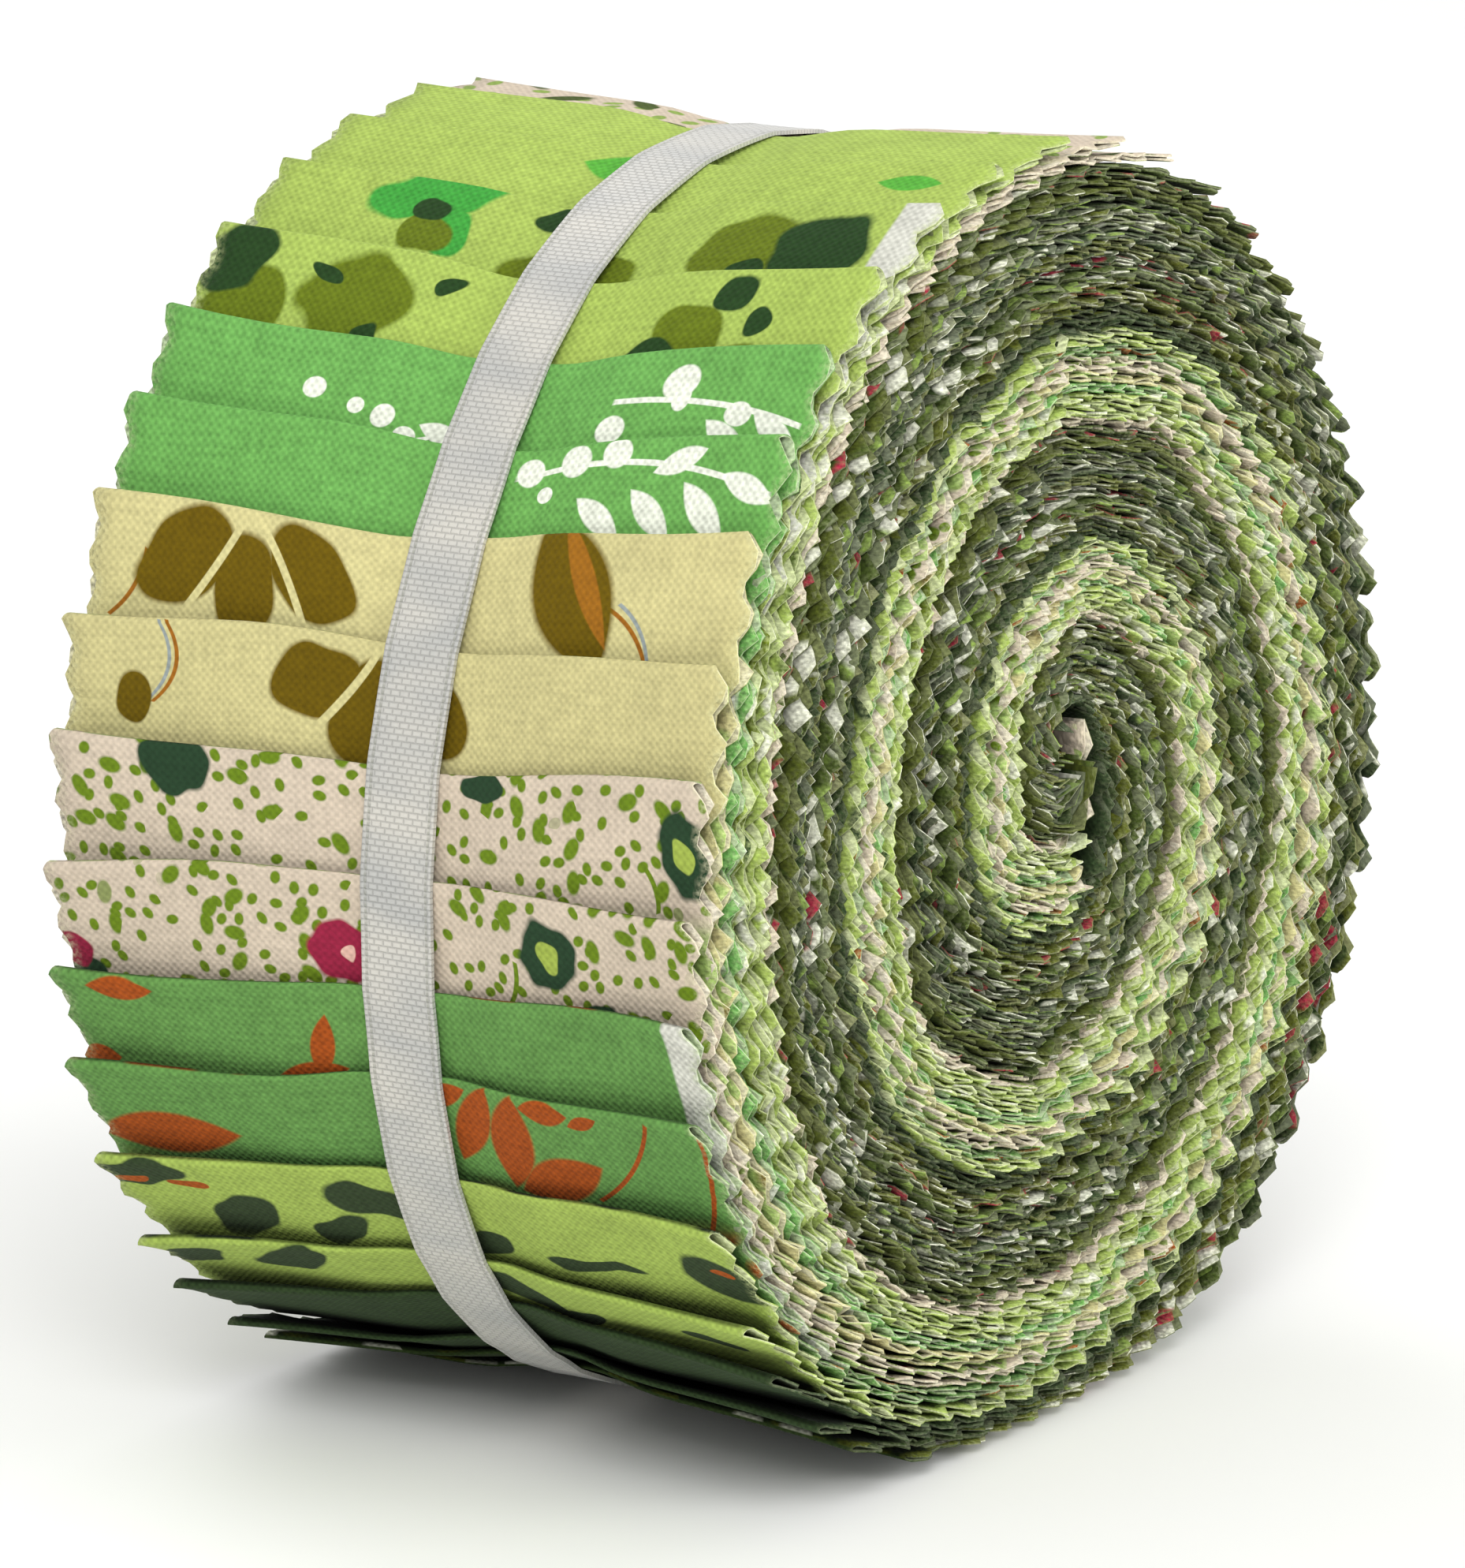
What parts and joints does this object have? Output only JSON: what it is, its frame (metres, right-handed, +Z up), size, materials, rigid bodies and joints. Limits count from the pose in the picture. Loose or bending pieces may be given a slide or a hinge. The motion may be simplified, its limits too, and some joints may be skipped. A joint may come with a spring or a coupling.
{
  "type": "jelly roll fabric strips",
  "caption": "Roll of folded cotton quilting strips with pinked edges, wound into a spiral and tied round the middle with a satin ribbon, standing on its rim.",
  "frame": {"origin": "middle of the box round the roll, at the height of the surface that it stands on", "axes": "+Z up; the winding axis runs along Y, and the open spiral face looks along -Y"},
  "size_m": [0.115, 0.0676, 0.111],
  "materials": {
    "cloth": "plain-weave printed cotton",
    "ribbon": "woven satin"
  },
  "bodies": {
    "root": {"strip_roll": "cloth", "tie_ribbon": "ribbon"}
  },
  "joints": []
}
